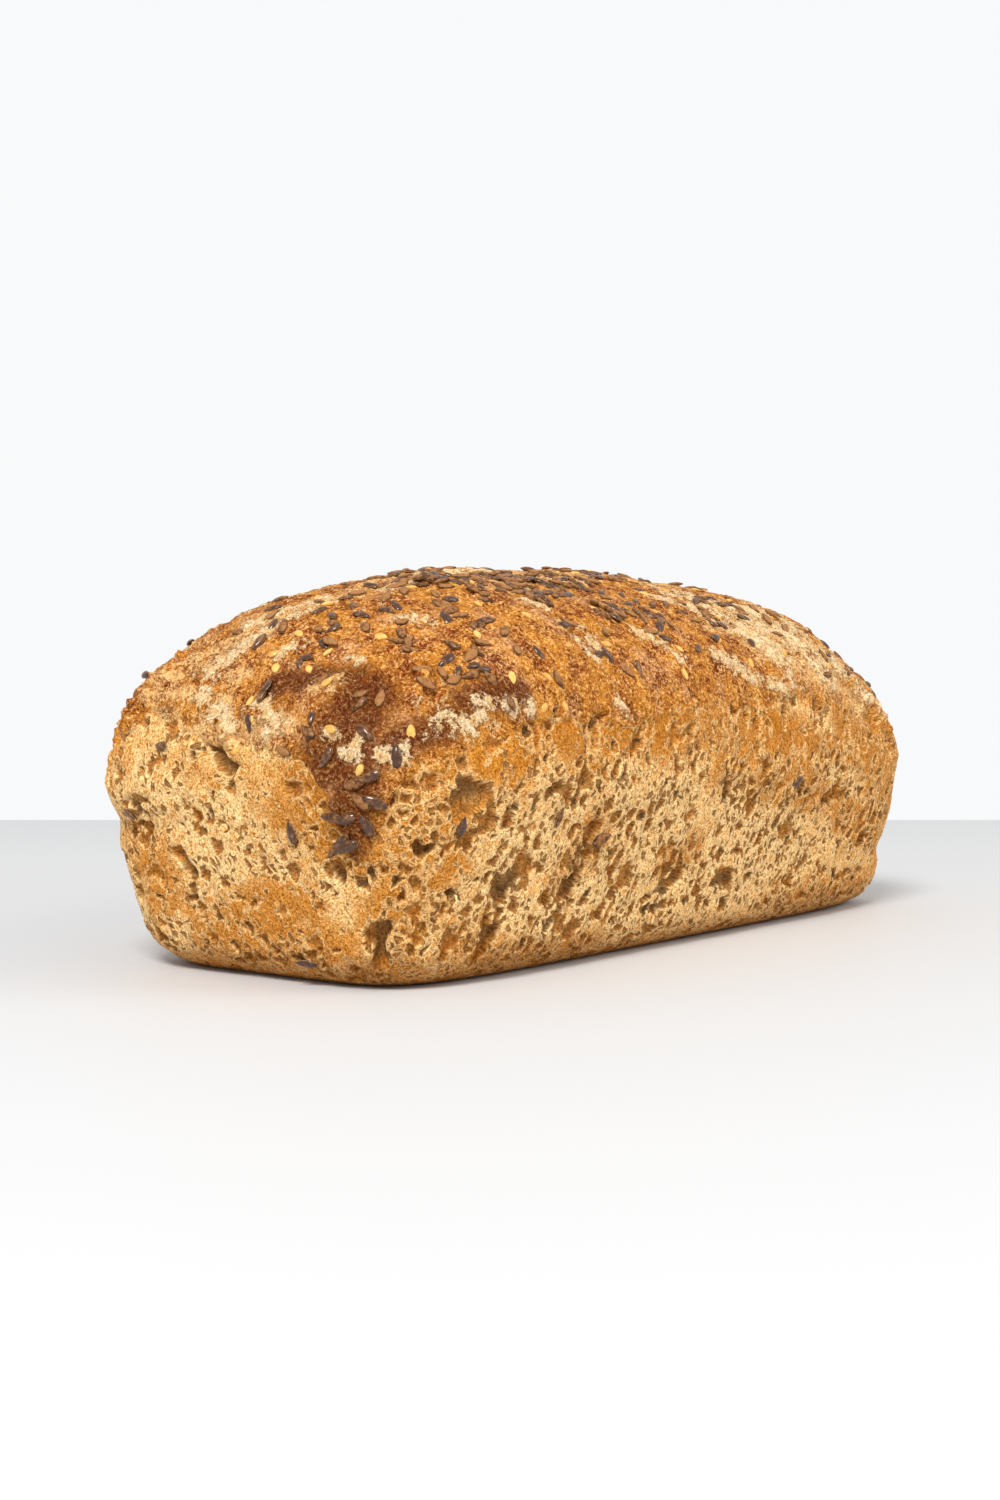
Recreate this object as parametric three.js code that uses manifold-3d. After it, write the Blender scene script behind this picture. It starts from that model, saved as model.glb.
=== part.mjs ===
// A small seeded loaf baked in a tin, in millimetres, +Z up, standing on its flat base.
// The form is a stack of rounded oblongs: tin walls that lean out, then a dome that rose above the rim.
// Relief, open pits and the seeds of the top are all part of the one solid.
import * as THREE from "three";
import { mergeVertices } from "three/addons/utils/BufferGeometryUtils.js";
import Module from "manifold-3d";

// Driving dimensions of the form
const loafLength = 218;
const loafWidth = 101;
const loafHeight = 85;
const wallHeight = 0.464 * loafHeight; // where the walls end and the dome starts to draw in
const baseRadius = 8.3; // the rounded edge round the base
const gridCell = 6.4; // size of a facet's cell on the body

// How each wall leans and how the dome above it closes: taper, power, root
const leftWall = { half: loafLength / 2, taper: 0.087, power: 2.56, root: 2.86 };
const rightWall = { half: loafLength / 2, taper: 0.03, power: 1.42, root: 3.6 };
const sideWall = { half: loafWidth / 2, taper: 0.19, power: 2.91, root: 1.58 };
const cornerLow = 6.3; // a high power gives a squarer corner in plan
const cornerHigh = 2.3;
const cornerChange = 0.3; // share of the height where the corners start to soften

// Seeds and pits
const flaxSeed = { length: 4.6, width: 2.4, thick: 1.6, sunk: 0.05 };
const sesameSeed = { length: 3.2, width: 2.0, thick: 1.4, sunk: 0.05 };
const seedCount = 122;
const seedGap = 6.1;
const seedTilt = 0.3; // most that a seed leans out of the surface, in radians
const sesameShare = 0.1;
const pitCount = 38;
const pitGap = 13;
const rimLine = 54; // height that the dough's skin met the tin up to

// The seeds heaped at one corner of the left end, each as across and up
const cornerHeap = [
  [-27, 31],
  [-31, 36.5],
  [-26, 41.5],
  [-33, 44],
];

// The widest open bubbles: place and width across
const widePits = [
  { at: [-89, -46, 39], across: 6.5 },
  { at: [-98, -33, 10], across: 6 },
  { at: [-73, -44, 19], across: 7 },
  { at: [-48, -46, 22], across: 7.5 },
  { at: [-109, 2, 46], across: 7 },
];

// Where the dough tore or lapped over itself: centre, radii and height, or depth where negative
const folds = [
  { at: [-109, 30, 39], radii: [12, 20, 7], height: 1.8 }, // the lip that hangs over the left end
  { at: [-107, 32, 30.5], radii: [14, 17, 2.6], height: -2.6 }, // the notch under it
  { at: [-101, 27, 63], radii: [6, 7, 4.5], height: 3.6 }, // the crag above it
  { at: [-98, 20, 69], radii: [7, 9, 3], height: -1.2 },
  { at: [97, -34, 57], radii: [7, 9, 4], height: 2.2 }, // a ledge at the right end
  { at: [96, -38, 52.5], radii: [9, 10, 2.2], height: -1.4 },
  { at: [104, -38, 15], radii: [12, 14, 2.6], height: -2.2 }, // a fold low on the right end
  { at: [-78, -49, 52], radii: [22, 9, 2.2], height: -1.2 }, // a crease along the rim line
];

const wasm = await Module();
wasm.setup();

function seededRandom(seed) {
  let state = seed;
  return () => {
    state = (state * 1664525 + 1013904223) % 4294967296;
    return state / 4294967296;
  };
}

function smoothstep(low, high, value) {
  const t = Math.min(Math.max((value - low) / (high - low), 0), 1);
  return t * t * (3 - 2 * t);
}

// How far a wall stands from the middle at a height.
function reach(z, wall) {
  const lean = wall.taper * Math.max((wallHeight - z) / wallHeight, 0);
  const low = Math.min(z, baseRadius);
  const edge = baseRadius - Math.sqrt(baseRadius ** 2 - (baseRadius - low) ** 2);
  const up = Math.min(Math.max((z - wallHeight) / (loafHeight - wallHeight), 0), 1);
  return (wall.half * (1 - lean) - edge) * Math.max(1 - up ** wall.power, 1e-9) ** (1 / wall.root);
}

function insideForm(p) {
  if (p.z <= 0 || p.z >= loafHeight) return false;
  const along = reach(p.z, p.x < 0 ? leftWall : rightWall);
  const across = reach(p.z, sideWall);
  const soften = Math.max((p.z / loafHeight - cornerChange) / (1 - cornerChange), 0);
  const corner = cornerLow + (cornerHigh - cornerLow) * soften;
  return Math.abs(p.x / along) ** corner + Math.abs(p.y / across) ** corner < 1;
}

// The middle of the loaf that a surface point is seen from: a short line along its length.
const spineHalf = 0.5 * (loafLength - loafWidth);
const spineHeight = 0.45 * loafHeight;

function spinePoint(p) {
  return new THREE.Vector3(THREE.MathUtils.clamp(p.x, -spineHalf, spineHalf), 0, spineHeight);
}

// The point of the form's surface on the way from the middle through p.
function ontoForm(p) {
  const from = spinePoint(p);
  const way = p.clone().sub(from).normalize();
  let near = 0;
  let far = loafLength;
  for (let i = 0; i < 40; i++) {
    const mid = (near + far) / 2;
    if (insideForm(from.clone().addScaledVector(way, mid))) near = mid;
    else far = mid;
  }
  return from.addScaledVector(way, near);
}

// Outward normal of the form, from two nearby points on it.
function normalAt(point) {
  const away = point.clone().sub(spinePoint(point)).normalize();
  const helper = Math.abs(away.z) < 0.9 ? new THREE.Vector3(0, 0, 1) : new THREE.Vector3(1, 0, 0);
  const u = helper.cross(away).normalize();
  const v = away.clone().cross(u).normalize();
  const step = 1.5;
  const at = (a, b) => ontoForm(point.clone().addScaledVector(u, a).addScaledVector(v, b));
  const normal = at(step, 0).sub(at(-step, 0)).cross(at(0, step).sub(at(0, -step))).normalize();
  return normal.dot(away) < 0 ? normal.negate() : normal;
}

// Soft bump or dent of a fold, falling away within its three radii.
function foldAt(p, fold) {
  const x = (p.x - fold.at[0]) / fold.radii[0];
  const y = (p.y - fold.at[1]) / fold.radii[1];
  const z = (p.z - fold.at[2]) / fold.radii[2];
  return fold.height * Math.exp(-(x * x + y * y + z * z));
}

// The uneven swell of the dough, strongest on the open dome.
function swell(p) {
  const wide = Math.sin(p.x / 17 + 1.1) * Math.sin(p.y / 13 + 0.4);
  const slow = wide + 0.7 * Math.sin(p.x / 9.5 - p.z / 11 + 2.0);
  const quick = Math.sin(p.x / 5.3 + p.y / 6.1) * Math.sin(p.z / 4.7 - p.x / 8.3 + 0.7);
  const dome = smoothstep(rimLine - 14, rimLine + 6, p.z);
  return (0.25 + 0.45 * dome) * slow + (0.12 + 0.32 * dome) * quick;
}

// Height of the relief over the form, none at the flat base.
function reliefAt(p) {
  const folded = folds.reduce((sum, fold) => sum + foldAt(p, fold), 0);
  return (swell(p) + folded) * smoothstep(1, 9, p.z);
}

// A surface point of the loaf with its relief, and the form's normal there.
function surfaceAt(p) {
  const point = ontoForm(p);
  const normal = normalAt(point);
  return { point: point.addScaledVector(normal, reliefAt(point)), normal };
}

function solidFrom(geometry) {
  const bare = geometry.clone();
  bare.deleteAttribute("normal");
  bare.deleteAttribute("uv");
  const merged = mergeVertices(bare, 1e-3);
  return new wasm.Manifold(
    new wasm.Mesh({
      numProp: 3,
      vertProperties: new Float32Array(merged.attributes.position.array),
      triVerts: new Uint32Array(merged.index.array),
    }),
  );
}

function geometryFrom(solid) {
  const mesh = solid.getMesh();
  const geometry = new THREE.BufferGeometry();
  geometry.setAttribute("position", new THREE.BufferAttribute(new Float32Array(mesh.vertProperties), 3));
  geometry.setIndex(new THREE.BufferAttribute(new Uint32Array(mesh.triVerts), 1));
  geometry.computeVertexNormals();
  return geometry;
}

// The bare loaf: a gridded block whose every vertex is drawn onto the surface.
function makeBody() {
  const cells = [loafLength, loafWidth, loafHeight].map((size) => Math.round(size / gridCell));
  const block = new THREE.BoxGeometry(loafLength, loafWidth, loafHeight, ...cells);
  block.translate(0, 0, loafHeight / 2);
  const place = block.attributes.position;
  for (let i = 0; i < place.count; i++) {
    const corner = new THREE.Vector3().fromBufferAttribute(place, i);
    const { point } = surfaceAt(corner);
    if (point.z < 0.02) point.z = 0;
    place.setXYZ(i, point.x, point.y, point.z);
  }
  return solidFrom(block);
}

// Lays a geometry made round its own origin on the surface: turned about the normal, then leaning by tilt.
function layOn(geometry, spot, turn, tilt, sink) {
  const laid = geometry.clone();
  laid.rotateY(tilt);
  laid.rotateZ(turn);
  laid.applyQuaternion(new THREE.Quaternion().setFromUnitVectors(new THREE.Vector3(0, 0, 1), spot.normal));
  const place = spot.point.clone().addScaledVector(spot.normal, -sink);
  laid.translate(place.x, place.y, place.z);
  return laid;
}

// A flattened drop: a low-sided sphere, narrower at one tip.
function seedGeometry(seed, size) {
  const drop = new THREE.SphereGeometry(1, 6, 3);
  drop.rotateX(Math.PI / 2);
  const place = drop.attributes.position;
  for (let i = 0; i < place.count; i++) {
    const x = place.getX(i);
    const narrow = 1 - 0.28 * Math.max(x, 0);
    place.setXYZ(
      i,
      (x * seed.length * size) / 2,
      (place.getY(i) * narrow * seed.width * size) / 2,
      (place.getZ(i) * seed.thick * size) / 2,
    );
  }
  return drop;
}

// Where seeds lie: thick over the top of the dome, thin down its sides, and a heap at one corner.
function seedLikelihood(p) {
  const top = smoothstep(0.62, 0.42, Math.hypot(p.x / (0.86 * loafLength), p.y / (0.66 * loafWidth)));
  const open = smoothstep(rimLine - 4, rimLine + 3, p.z);
  return Math.max(top, 0.16 * open);
}

function farEnough(point, others, gap) {
  return others.every((other) => other.point.distanceTo(point) > gap);
}

function seedSpots(random) {
  const spots = [];
  for (const [y, z] of cornerHeap) spots.push(surfaceAt(new THREE.Vector3(-loafLength / 2, y, z)));
  while (spots.length < seedCount) {
    const x = (random() - 0.5) * loafLength;
    const y = (random() - 0.5) * loafWidth;
    const z = random() < 0.7 ? loafHeight : rimLine + random() * (loafHeight - rimLine);
    const aim = new THREE.Vector3(x, y, z);
    const spot = surfaceAt(aim);
    if (random() > seedLikelihood(spot.point)) continue;
    if (farEnough(spot.point, spots, seedGap)) spots.push(spot);
  }
  return spots;
}

function makeSeeds(random) {
  return seedSpots(random).map((spot) => {
    const kind = random() < sesameShare ? sesameSeed : flaxSeed;
    const size = 0.9 + 0.2 * random();
    const tilt = (2 * random() - 1) * seedTilt;
    const turn = random() * 2 * Math.PI;
    return solidFrom(layOn(seedGeometry(kind, size), spot, turn, tilt, kind.sunk * kind.thick));
  });
}

// An open bubble in the skin that lay against the tin: an uneven low-sided bowl, cut into the body.
function pitGeometry(random, across) {
  const bowl = new THREE.SphereGeometry(1, 6, 3);
  bowl.rotateX(Math.PI / 2);
  const stretch = 1 + 0.7 * random();
  const deep = 0.9 + 0.5 * random();
  const wobble = random() * 6;
  const place = bowl.attributes.position;
  for (let i = 0; i < place.count; i++) {
    const round = 1 + 0.16 * Math.sin(3 * Math.atan2(place.getY(i), place.getX(i)) + wobble);
    place.setXYZ(
      i,
      (place.getX(i) * round * across * stretch) / 2,
      (place.getY(i) * round * across) / 2,
      place.getZ(i) * deep,
    );
  }
  return bowl;
}

// A place on the walls below the rim line, clear of the rounded base edge.
function wallSpot(random) {
  const around = random() * 2 * Math.PI;
  const x = THREE.MathUtils.clamp(Math.cos(around) * loafLength, -loafLength / 2, loafLength / 2);
  const y = THREE.MathUtils.clamp(Math.sin(around) * loafWidth, -loafWidth / 2, loafWidth / 2);
  return surfaceAt(new THREE.Vector3(x, y, 6 + random() * (rimLine - 12)));
}

function makePits(random) {
  const pits = widePits.map(({ at, across }) => ({ spot: surfaceAt(new THREE.Vector3(...at)), across }));
  while (pits.length < pitCount) {
    const spot = wallSpot(random);
    const others = pits.map((pit) => pit.spot);
    if (farEnough(spot.point, others, pitGap)) pits.push({ spot, across: 4 + 3 * random() });
  }
  return pits.map(({ spot, across }) => {
    const turn = Math.PI / 2 + (random() - 0.5) * 1.2;
    return solidFrom(layOn(pitGeometry(random, across), spot, turn, 0, 0));
  });
}

function makeLoaf() {
  const body = makeBody();
  const seeds = wasm.Manifold.union(makeSeeds(seededRandom(11)));
  const pits = wasm.Manifold.union(makePits(seededRandom(29)));
  const joined = body.subtract(pits).add(seeds);
  const largest = joined.decompose().sort((a, b) => b.volume() - a.volume())[0];
  const geometry = geometryFrom(largest);
  geometry.computeBoundingBox();
  const middle = geometry.boundingBox.getCenter(new THREE.Vector3());
  geometry.translate(-middle.x, -middle.y, -geometry.boundingBox.min.z);
  return geometry;
}

const crust = new THREE.MeshStandardMaterial({ color: 0xc79356, roughness: 0.85, metalness: 0 });
const loaf = new THREE.Mesh(makeLoaf(), crust);
loaf.name = "loaf";

const group = new THREE.Group();
group.add(loaf);

export default group;
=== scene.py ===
import math

import bpy
import numpy as np
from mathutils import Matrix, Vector
from mathutils.bvhtree import BVHTree


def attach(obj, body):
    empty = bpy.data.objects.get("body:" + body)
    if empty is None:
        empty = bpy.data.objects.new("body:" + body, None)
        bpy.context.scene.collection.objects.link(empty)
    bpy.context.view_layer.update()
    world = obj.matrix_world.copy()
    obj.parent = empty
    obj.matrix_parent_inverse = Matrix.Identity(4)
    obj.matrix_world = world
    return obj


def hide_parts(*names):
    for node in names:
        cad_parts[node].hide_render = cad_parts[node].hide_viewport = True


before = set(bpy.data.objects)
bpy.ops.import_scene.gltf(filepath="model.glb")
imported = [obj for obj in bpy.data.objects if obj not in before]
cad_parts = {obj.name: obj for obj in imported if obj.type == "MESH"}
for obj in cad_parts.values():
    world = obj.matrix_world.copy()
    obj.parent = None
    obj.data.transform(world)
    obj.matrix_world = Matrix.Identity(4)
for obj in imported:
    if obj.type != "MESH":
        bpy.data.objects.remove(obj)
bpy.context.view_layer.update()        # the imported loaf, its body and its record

scene = bpy.context.scene
mm = 0.001  # every size below is in millimetres and becomes metres where it meets Blender


# Pen: writes sums as nodes, the same way in a shader tree and in a geometry tree

class Value:  # a socket that can be added to, multiplied and so on
    def __init__(self, pen, socket):
        self.pen, self.socket = pen, socket

    def __add__(self, other):
        return self.pen.maths("ADD", self, other)

    def __sub__(self, other):
        return self.pen.maths("SUBTRACT", self, other)

    def __rsub__(self, other):
        return self.pen.maths("SUBTRACT", other, self)

    def __mul__(self, other):
        return self.pen.maths("MULTIPLY", self, other)

    __radd__ = __add__
    __rmul__ = __mul__


class Pen:
    def __init__(self, tree):
        self.tree = tree

    def node(self, kind, **settings):
        made = self.tree.nodes.new(kind)
        for name, value in settings.items():
            setattr(made, name, value)
        return made

    def join(self, value, socket):  # a Value is linked, and anything else is set on the socket
        if isinstance(value, Value):
            self.tree.links.new(value.socket, socket)
        elif value is not None:
            socket.default_value = value

    def call(self, kind, values, output=0, **settings):
        made = self.node(kind, **settings)
        for place, value in values.items():
            self.join(value, made.inputs[place])
        return Value(self, made.outputs[output])

    def maths(self, operation, a, b=None):
        return self.call("ShaderNodeMath", {0: a, 1: b}, operation=operation)

    def vector(self, operation, a, b=None):
        return self.call("ShaderNodeVectorMath", {0: a, 1: b}, operation=operation)

    def scaled(self, vector, factor):
        return self.call("ShaderNodeVectorMath", {0: vector, "Scale": factor}, operation="SCALE")

    def dot(self, a, b):
        return self.call("ShaderNodeVectorMath", {0: a, 1: b}, "Value", operation="DOT_PRODUCT")

    def split(self, vector):
        made = self.node("ShaderNodeSeparateXYZ")
        self.join(vector, made.inputs[0])
        return [Value(self, socket) for socket in made.outputs]

    def ramp(self, value, low, high, to=1.0):  # a smooth step from 0 at low to 1 at high
        values = {"Value": value, "From Min": low, "From Max": high, "To Max": to}
        return self.call("ShaderNodeMapRange", values, interpolation_type="SMOOTHSTEP")

    def most(self, *values):
        found = values[0]
        for value in values[1:]:
            found = self.maths("MAXIMUM", found, value)
        return found

    def least(self, *values):
        found = values[0]
        for value in values[1:]:
            found = self.maths("MINIMUM", found, value)
        return found

    def mix(self, share, a, b):
        return self.call("ShaderNodeMix", {"Factor": share, "A": a, "B": b}, data_type="FLOAT")

    def blend(self, share, a, b):  # of colours
        made = self.node("ShaderNodeMix", data_type="RGBA")
        for socket, value in zip((made.inputs[0], made.inputs[6], made.inputs[7]), (share, a, b)):
            self.join(value, socket)
        return Value(self, made.outputs[2])

    def noise(self, place, size, detail, rough, shift=0.0):  # about -0.5 to 0.5, another for each shift
        moved = self.vector("ADD", place, (shift, 1.7 * shift, 0.6 * shift)) if shift else place
        values = {"Vector": moved, "Scale": 1.0 / size, "Detail": detail, "Roughness": rough}
        return (self.call("ShaderNodeTexNoise", values, "Fac") - 0.5) * 2.0

    def wobble(self, place, size, reach):  # place pushed about by up to half of reach
        values = {"Vector": place, "Scale": 1.0 / size, "Detail": 2.0, "Roughness": 0.6}
        push = self.call("ShaderNodeTexNoise", values, "Color")
        return self.vector("ADD", place, self.scaled(self.vector("SUBTRACT", push, (0.5, 0.5, 0.5)), reach))

    def cells(self, place, size):  # two draws for the cell that a place is in
        draws = self.split(self.call("ShaderNodeTexVoronoi", {"Vector": place, "Scale": 1.0 / size}, "Color"))
        return draws[0], draws[1]

    def walls(self, place, size):  # how far a place is from the wall between two cells
        values = {"Vector": place, "Scale": 1.0 / size}
        return self.call("ShaderNodeTexVoronoi", values, "Distance", feature="DISTANCE_TO_EDGE") * size

    def field(self, name, kind="FLOAT"):  # what the mesh keeps under a name, in a geometry tree
        values = {"Name": name}
        return self.call("GeometryNodeInputNamedAttribute", values, "Attribute", data_type=kind)


def newTree(name, kind, takes, gives):  # an empty tree, its pen and the identifiers of its inputs
    tree = bpy.data.node_groups.new(name, kind)
    keys = {}
    for label, sort in takes.items():
        socket = tree.interface.new_socket(label, in_out="INPUT", socket_type="NodeSocket" + sort)
        keys[label] = socket.identifier
    for label, sort in gives.items():
        tree.interface.new_socket(label, in_out="OUTPUT", socket_type="NodeSocket" + sort)
    return tree, Pen(tree), keys


def colour(red, green, blue):  # a colour as seen on a screen, 0 to 255, as Blender's linear numbers
    parts = [value / 255 for value in (red, green, blue)]
    return tuple([v / 12.92 if v < 0.04045 else ((v + 0.055) / 1.055) ** 2.4 for v in parts] + [1.0])


# The bare form: the same rule as the solid, a stack of rounded oblongs under a dome

form = {
    "length": 218.0,
    "width": 101.0,
    "height": 85.0,
    "wallHeight": 0.464,  # share of the height at which the walls end and the dome starts to draw in
    "baseRadius": 8.3,
    # how much a wall leans in towards the base, then the shape of the dome above it
    "leftWall": {"taper": 0.087, "power": 2.56, "root": 2.86},
    "rightWall": {"taper": 0.03, "power": 1.42, "root": 3.6},
    "sideWall": {"taper": 0.19, "power": 2.91, "root": 1.58},
    "cornerLow": 6.3,  # a high power gives a squarer corner in plan
    "cornerHigh": 2.3,
    "cornerChange": 0.3,  # share of the height from which the corners start to round
    "swell": {"slow": (0.25, 0.45), "quick": (0.12, 0.32)},  # on the walls, and how much more on the dome
    "heart": 0.45,  # share of the height that the rays which find the form start at
    "rimLine": 54.0,  # height that the dough's skin met the tin up to
    "dipReach": (7.0, 40.0),  # how far the narrow and the wide dips of the rim line reach round a corner
    "cell": 0.45,  # before thinning
    "triangles": 195000,
    "folds": [  # centre, radii, height
        ((-109, 30, 39), (12, 20, 7), 1.3),  # the lip that hangs over the left end
        ((-107, 32, 30.5), (14, 17, 3.0), -1.5),  # the notch under it
        ((-101, 27, 63), (6, 7, 4.5), 2.4),  # the crag above it
        ((-98, 20, 69), (7, 9, 3), -1.2),
        ((-101, 12, 65), (10, 24, 10), -1.6),  # the left shoulder sank
        ((97, -34, 57), (7, 9, 4), 2.2),  # a ledge at the right end
        ((96, -38, 52.5), (9, 10, 2.2), -1.4),
        ((104, -38, 15), (12, 14, 2.6), -2.2),
        ((-78, -49, 52), (22, 9, 2.2), -1.2),  # a crease along the rim line
    ],
}


def smoothstep(low, high, value):
    t = np.clip((value - low) / (high - low), 0, 1)
    return t * t * (3 - 2 * t)


def reach(z, half, taper, power, root):  # how far a wall stands from the middle at a height
    wallHeight, radius = form["wallHeight"] * form["height"], form["baseRadius"]
    lean = taper * np.maximum((wallHeight - z) / wallHeight, 0)
    low = np.clip(z, 0, radius)
    edge = radius - np.sqrt(radius ** 2 - (radius - low) ** 2)
    up = np.clip((z - wallHeight) / (form["height"] - wallHeight), 0, 1)
    return (half * (1 - lean) - edge) * np.maximum(1 - up ** power, 1e-9) ** (1 / root)


def insideForm(p):
    x, y, z = p.T
    left, right = (reach(z, form["length"] / 2, **form[wall]) for wall in ("leftWall", "rightWall"))
    along = np.where(x < 0, left, right)
    across = reach(z, form["width"] / 2, **form["sideWall"])
    soften = np.maximum((z / form["height"] - form["cornerChange"]) / (1 - form["cornerChange"]), 0)
    corner = form["cornerLow"] + (form["cornerHigh"] - form["cornerLow"]) * soften
    within = np.abs(x / along) ** corner + np.abs(y / across) ** corner < 1
    return within & (z > 0) & (z < form["height"])


def ontoForm(p):  # each point drawn onto the form's surface, along its ray from the middle
    middle = np.zeros_like(p)
    spine = 0.5 * (form["length"] - form["width"])
    middle[:, 0] = np.clip(p[:, 0], -spine, spine)
    middle[:, 2] = form["heart"] * form["height"]
    way = p - middle
    way /= np.linalg.norm(way, axis=1, keepdims=True)
    near = np.zeros((len(p), 1))
    step = form["length"] / 2
    for _ in range(24):
        near += step * insideForm(middle + way * (near + step))[:, None]
        step /= 2
    return middle + way * near


def swell(p):  # the uneven swell of the dough and its folds, none at the flat base
    x, y, z = p.T
    wide = np.sin(x / 17 + 1.1) * np.sin(y / 13 + 0.4)
    slow = wide + 0.7 * np.sin(x / 9.5 - z / 11 + 2.0)
    quick = np.sin(x / 5.3 + y / 6.1) * np.sin(z / 4.7 - x / 8.3 + 0.7)
    dome = smoothstep(form["rimLine"] - 14, form["rimLine"] + 6, z)
    height = np.zeros(len(p))
    for wave, (walls, more) in zip((slow, quick), form["swell"].values()):
        height += (walls + more * dome) * wave
    for centre, radii, rise in form["folds"]:
        height += rise * np.exp(-(((p - centre) / radii) ** 2).sum(axis=1))
    return height * smoothstep(1, 9, z)


def readRows(rows, field):  # a mesh's points, normals or kept vectors, three numbers a row
    found = np.empty(len(rows) * 3, np.float32)
    rows.foreach_get(field, found)
    return found.reshape(-1, 3).astype(float)


def linked(name, data):  # a new object in the scene
    piece = bpy.data.objects.new(name, data)
    scene.collection.objects.link(piece)
    return piece


def blockTree():  # a closed block of square cells
    takes = {"Size": "Vector", "Vertices X": "Int", "Vertices Y": "Int", "Vertices Z": "Int"}
    tree, pen, keys = newTree("blockOfCells", "GeometryNodeTree", takes, {"Geometry": "Geometry"})
    given = pen.node("NodeGroupInput").outputs
    block = pen.node("GeometryNodeMeshCube")
    for label in takes:
        tree.links.new(given[label], block.inputs[label])
    tree.links.new(block.outputs["Mesh"], pen.node("NodeGroupOutput").inputs[0])
    return tree, keys


def blockMesh(name, cell):
    sizes = (form["length"], form["width"], form["height"])
    carrier = linked(name, bpy.data.meshes.new(name))
    block = carrier.modifiers.new("block", "NODES")
    block.node_group, keys = blockTree()
    block[keys["Size"]] = sizes
    for axis, size in zip("XYZ", sizes):
        block[keys["Vertices " + axis]] = round(size / cell) + 1
    return settled(carrier)


def settled(piece):  # what a piece's modifiers make, as a plain mesh; the piece goes
    graph = bpy.context.evaluated_depsgraph_get()
    ready = piece.evaluated_get(graph)
    mesh = bpy.data.meshes.new_from_object(ready, preserve_all_data_layers=True, depsgraph=graph)
    mesh.name = piece.name
    bpy.data.objects.remove(piece)
    return mesh


def keepField(mesh, name, values):
    flat = values.ndim == 1
    kept = mesh.attributes.new(name, "FLOAT" if flat else "FLOAT_VECTOR", "POINT")
    kept.data.foreach_set("value" if flat else "vector", np.ascontiguousarray(values, np.float32).ravel())


def movePoints(mesh, points):
    mesh.vertices.foreach_set("co", np.ascontiguousarray(points, np.float32).ravel())
    mesh.update()


def bareLoaf(name, cell):  # a mesh, its points on the form and its points on the swollen loaf, in mm
    mesh = blockMesh(name, cell)
    block = readRows(mesh.vertices, "co")
    block[:, 2] += form["height"] / 2
    base = ontoForm(block)
    movePoints(mesh, base)
    normals = readRows(mesh.vertex_normals, "vector")
    shaped = base + normals * swell(base)[:, None]
    shaped[shaped[:, 2] < 0.02, 2] = 0
    return mesh, base, shaped


print("form: ready")


# Marks: where the tin skin ends and what lies where on the loaf, each given as (start, end, radius)

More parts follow.
